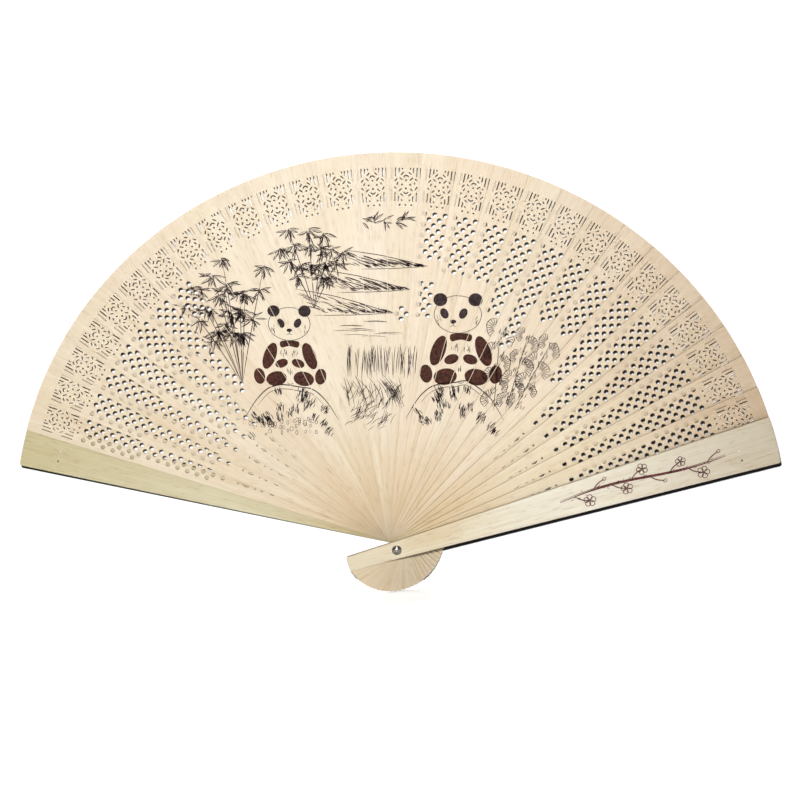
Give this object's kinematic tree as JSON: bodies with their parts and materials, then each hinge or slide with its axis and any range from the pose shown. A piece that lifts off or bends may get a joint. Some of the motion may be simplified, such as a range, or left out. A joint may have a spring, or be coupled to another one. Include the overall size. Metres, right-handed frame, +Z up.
{
  "type": "folding fan",
  "caption": "Folding hand fan of pierced, overlapping sandalwood sticks that turn about a common rivet and close into a slim bundle.",
  "frame": {"origin": "on the rivet's axis, half way through the stack of sticks", "axes": "+X to the right of someone who looks at the picture side, +Z up, +Y through the stack from the front guard to the back guard, along the rivet"},
  "size_m": [0.3964, 0.0306, 0.2295],
  "materials": {
    "stick_wood": "smooth sanded sandalwood, unvarnished, brown ink picture across the middle",
    "guard_wood": "smooth sanded sandalwood, unvarnished",
    "rivet_steel": "polished domed steel",
    "thread": "fine twisted off-white thread"
  },
  "bodies": {
    "front_guard": {"front_guard": "guard_wood", "rivet": "rivet_steel", "rivet_washer": "rivet_steel", "thread_knot": "thread"},
    "back_guard": {"back_guard": "guard_wood", "thread_end": "thread"},
    "stick_01": {"stick_01": "stick_wood"},
    "stick_02": {"stick_02": "stick_wood"},
    "stick_03": {"stick_03": "stick_wood"},
    "stick_04": {"stick_04": "stick_wood"},
    "stick_05": {"stick_05": "stick_wood"},
    "stick_06": {"stick_06": "stick_wood"},
    "stick_07": {"stick_07": "stick_wood"},
    "stick_08": {"stick_08": "stick_wood"},
    "stick_09": {"stick_09": "stick_wood"},
    "stick_10": {"stick_10": "stick_wood"},
    "stick_11": {"stick_11": "stick_wood"},
    "stick_12": {"stick_12": "stick_wood"},
    "stick_13": {"stick_13": "stick_wood"},
    "stick_14": {"stick_14": "stick_wood"},
    "stick_15": {"stick_15": "stick_wood"},
    "stick_16": {"stick_16": "stick_wood"},
    "stick_17": {"stick_17": "stick_wood"},
    "stick_18": {"stick_18": "stick_wood"},
    "stick_19": {"stick_19": "stick_wood"},
    "stick_20": {"stick_20": "stick_wood"},
    "stick_21": {"stick_21": "stick_wood"},
    "stick_22": {"stick_22": "stick_wood"},
    "stick_23": {"stick_23": "stick_wood"},
    "stick_24": {"stick_24": "stick_wood"},
    "stick_25": {"stick_25": "stick_wood"},
    "stick_26": {"stick_26": "stick_wood"},
    "stick_27": {"stick_27": "stick_wood"},
    "stick_28": {"stick_28": "stick_wood"}
  },
  "joints": [
    {"name": "fold", "type": "hinge", "parent": "front_guard", "child": "back_guard", "pos_m": [0, 0.01365, 0], "axis": [0, 1, 0], "range_deg": [0, 148.6]},
    {"name": "stick_01_turn", "type": "hinge", "parent": "front_guard", "child": "stick_01", "pos_m": [0, -0.01215, 0], "axis": [0, 1, 0], "range_deg": [0, 5.12]},
    {"name": "stick_02_turn", "type": "hinge", "parent": "front_guard", "child": "stick_02", "pos_m": [0, -0.01125, 0], "axis": [0, 1, 0], "range_deg": [0, 10.25]},
    {"name": "stick_03_turn", "type": "hinge", "parent": "front_guard", "child": "stick_03", "pos_m": [0, -0.01035, 0], "axis": [0, 1, 0], "range_deg": [0, 15.37]},
    {"name": "stick_04_turn", "type": "hinge", "parent": "front_guard", "child": "stick_04", "pos_m": [0, -0.00945, 0], "axis": [0, 1, 0], "range_deg": [0, 20.5]},
    {"name": "stick_05_turn", "type": "hinge", "parent": "front_guard", "child": "stick_05", "pos_m": [0, -0.00855, 0], "axis": [0, 1, 0], "range_deg": [0, 25.62]},
    {"name": "stick_06_turn", "type": "hinge", "parent": "front_guard", "child": "stick_06", "pos_m": [0, -0.00765, 0], "axis": [0, 1, 0], "range_deg": [0, 30.75]},
    {"name": "stick_07_turn", "type": "hinge", "parent": "front_guard", "child": "stick_07", "pos_m": [0, -0.00675, 0], "axis": [0, 1, 0], "range_deg": [0, 35.87]},
    {"name": "stick_08_turn", "type": "hinge", "parent": "front_guard", "child": "stick_08", "pos_m": [0, -0.00585, 0], "axis": [0, 1, 0], "range_deg": [0, 40.99]},
    {"name": "stick_09_turn", "type": "hinge", "parent": "front_guard", "child": "stick_09", "pos_m": [0, -0.00495, 0], "axis": [0, 1, 0], "range_deg": [0, 46.12]},
    {"name": "stick_10_turn", "type": "hinge", "parent": "front_guard", "child": "stick_10", "pos_m": [0, -0.00405, 0], "axis": [0, 1, 0], "range_deg": [0, 51.24]},
    {"name": "stick_11_turn", "type": "hinge", "parent": "front_guard", "child": "stick_11", "pos_m": [0, -0.00315, 0], "axis": [0, 1, 0], "range_deg": [0, 56.37]},
    {"name": "stick_12_turn", "type": "hinge", "parent": "front_guard", "child": "stick_12", "pos_m": [0, -0.00225, 0], "axis": [0, 1, 0], "range_deg": [0, 61.49]},
    {"name": "stick_13_turn", "type": "hinge", "parent": "front_guard", "child": "stick_13", "pos_m": [0, -0.00135, 0], "axis": [0, 1, 0], "range_deg": [0, 66.61]},
    {"name": "stick_14_turn", "type": "hinge", "parent": "front_guard", "child": "stick_14", "pos_m": [0, -0.00045, 0], "axis": [0, 1, 0], "range_deg": [0, 71.74]},
    {"name": "stick_15_turn", "type": "hinge", "parent": "front_guard", "child": "stick_15", "pos_m": [0, 0.00045, 0], "axis": [0, 1, 0], "range_deg": [0, 76.86]},
    {"name": "stick_16_turn", "type": "hinge", "parent": "front_guard", "child": "stick_16", "pos_m": [0, 0.00135, 0], "axis": [0, 1, 0], "range_deg": [0, 81.99]},
    {"name": "stick_17_turn", "type": "hinge", "parent": "front_guard", "child": "stick_17", "pos_m": [0, 0.00225, 0], "axis": [0, 1, 0], "range_deg": [0, 87.11]},
    {"name": "stick_18_turn", "type": "hinge", "parent": "front_guard", "child": "stick_18", "pos_m": [0, 0.00315, 0], "axis": [0, 1, 0], "range_deg": [0, 92.24]},
    {"name": "stick_19_turn", "type": "hinge", "parent": "front_guard", "child": "stick_19", "pos_m": [0, 0.00405, 0], "axis": [0, 1, 0], "range_deg": [0, 97.36]},
    {"name": "stick_20_turn", "type": "hinge", "parent": "front_guard", "child": "stick_20", "pos_m": [0, 0.00495, 0], "axis": [0, 1, 0], "range_deg": [0, 102.48]},
    {"name": "stick_21_turn", "type": "hinge", "parent": "front_guard", "child": "stick_21", "pos_m": [0, 0.00585, 0], "axis": [0, 1, 0], "range_deg": [0, 107.61]},
    {"name": "stick_22_turn", "type": "hinge", "parent": "front_guard", "child": "stick_22", "pos_m": [0, 0.00675, 0], "axis": [0, 1, 0], "range_deg": [0, 112.73]},
    {"name": "stick_23_turn", "type": "hinge", "parent": "front_guard", "child": "stick_23", "pos_m": [0, 0.00765, 0], "axis": [0, 1, 0], "range_deg": [0, 117.86]},
    {"name": "stick_24_turn", "type": "hinge", "parent": "front_guard", "child": "stick_24", "pos_m": [0, 0.00855, 0], "axis": [0, 1, 0], "range_deg": [0, 122.98]},
    {"name": "stick_25_turn", "type": "hinge", "parent": "front_guard", "child": "stick_25", "pos_m": [0, 0.00945, 0], "axis": [0, 1, 0], "range_deg": [0, 128.1]},
    {"name": "stick_26_turn", "type": "hinge", "parent": "front_guard", "child": "stick_26", "pos_m": [0, 0.01035, 0], "axis": [0, 1, 0], "range_deg": [0, 133.23]},
    {"name": "stick_27_turn", "type": "hinge", "parent": "front_guard", "child": "stick_27", "pos_m": [0, 0.01125, 0], "axis": [0, 1, 0], "range_deg": [0, 138.35]},
    {"name": "stick_28_turn", "type": "hinge", "parent": "front_guard", "child": "stick_28", "pos_m": [0, 0.01215, 0], "axis": [0, 1, 0], "range_deg": [0, 143.48]}
  ],
  "couplings": [
    {"joint": "stick_01_turn", "follows": "fold", "ratio": 0.034483},
    {"joint": "stick_02_turn", "follows": "fold", "ratio": 0.068966},
    {"joint": "stick_03_turn", "follows": "fold", "ratio": 0.10345},
    {"joint": "stick_04_turn", "follows": "fold", "ratio": 0.13793},
    {"joint": "stick_05_turn", "follows": "fold", "ratio": 0.17241},
    {"joint": "stick_06_turn", "follows": "fold", "ratio": 0.2069},
    {"joint": "stick_07_turn", "follows": "fold", "ratio": 0.24138},
    {"joint": "stick_08_turn", "follows": "fold", "ratio": 0.27586},
    {"joint": "stick_09_turn", "follows": "fold", "ratio": 0.31034},
    {"joint": "stick_10_turn", "follows": "fold", "ratio": 0.34483},
    {"joint": "stick_11_turn", "follows": "fold", "ratio": 0.37931},
    {"joint": "stick_12_turn", "follows": "fold", "ratio": 0.41379},
    {"joint": "stick_13_turn", "follows": "fold", "ratio": 0.44828},
    {"joint": "stick_14_turn", "follows": "fold", "ratio": 0.48276},
    {"joint": "stick_15_turn", "follows": "fold", "ratio": 0.51724},
    {"joint": "stick_16_turn", "follows": "fold", "ratio": 0.55172},
    {"joint": "stick_17_turn", "follows": "fold", "ratio": 0.58621},
    {"joint": "stick_18_turn", "follows": "fold", "ratio": 0.62069},
    {"joint": "stick_19_turn", "follows": "fold", "ratio": 0.65517},
    {"joint": "stick_20_turn", "follows": "fold", "ratio": 0.68966},
    {"joint": "stick_21_turn", "follows": "fold", "ratio": 0.72414},
    {"joint": "stick_22_turn", "follows": "fold", "ratio": 0.75862},
    {"joint": "stick_23_turn", "follows": "fold", "ratio": 0.7931},
    {"joint": "stick_24_turn", "follows": "fold", "ratio": 0.82759},
    {"joint": "stick_25_turn", "follows": "fold", "ratio": 0.86207},
    {"joint": "stick_26_turn", "follows": "fold", "ratio": 0.89655},
    {"joint": "stick_27_turn", "follows": "fold", "ratio": 0.93103},
    {"joint": "stick_28_turn", "follows": "fold", "ratio": 0.96552}
  ]
}
